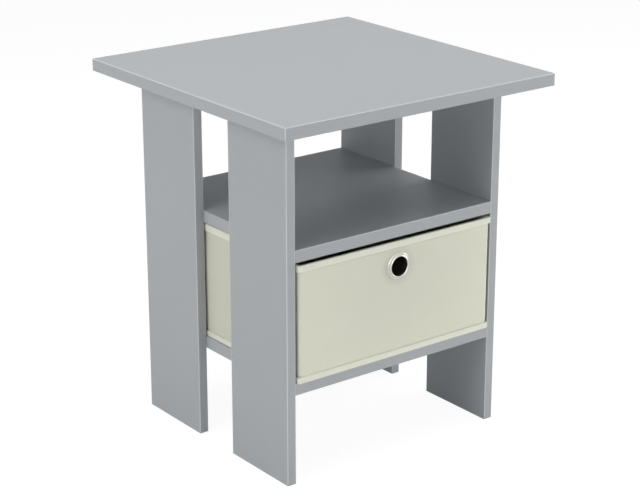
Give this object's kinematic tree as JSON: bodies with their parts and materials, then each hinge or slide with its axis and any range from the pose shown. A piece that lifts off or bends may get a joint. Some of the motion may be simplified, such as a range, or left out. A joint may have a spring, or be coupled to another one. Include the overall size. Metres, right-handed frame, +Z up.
{
  "type": "side table with drawer",
  "caption": "Square side table on flat board legs, with an open shelf and a fabric bin that pulls out as a drawer.",
  "frame": {"origin": "on the floor, under the middle of the table top", "axes": "+Z up, +X to the right as seen from the front, -Y towards the front, where the bin comes out"},
  "size_m": [0.394, 0.394, 0.45],
  "materials": {
    "laminate": "satin",
    "beech": "bare",
    "zinc": "satin",
    "bin_fabric": "matte",
    "board": "matte",
    "binding": "matte",
    "eyelet": "polished"
  },
  "bodies": {
    "table": {"top_panel": "laminate", "front_left_leg": "laminate", "front_right_leg": "laminate", "rear_left_leg": "laminate", "rear_right_leg": "laminate", "bottom_shelf": "laminate", "middle_shelf": "laminate", "bottom_shelf_cams": "zinc", "bottom_shelf_cam_bolts": "zinc", "bottom_shelf_dowels": "beech", "middle_shelf_cams": "zinc", "middle_shelf_cam_bolts": "zinc", "middle_shelf_dowels": "beech", "top_cams": "zinc", "top_cam_bolts": "zinc", "top_dowels": "beech"},
    "bin": {"outer_skin": "bin_fabric", "inner_lining": "bin_fabric", "front_stiffener": "board", "back_stiffener": "board", "left_stiffener": "board", "right_stiffener": "board", "base_board": "board", "top_binding": "binding", "bottom_binding": "binding", "grommet_ring": "eyelet", "grommet_washer": "eyelet"}
  },
  "joints": [
    {"name": "bin_slide", "type": "slide", "parent": "table", "child": "bin", "axis": [0, -1, 0], "range_m": [0, 0.29]}
  ]
}
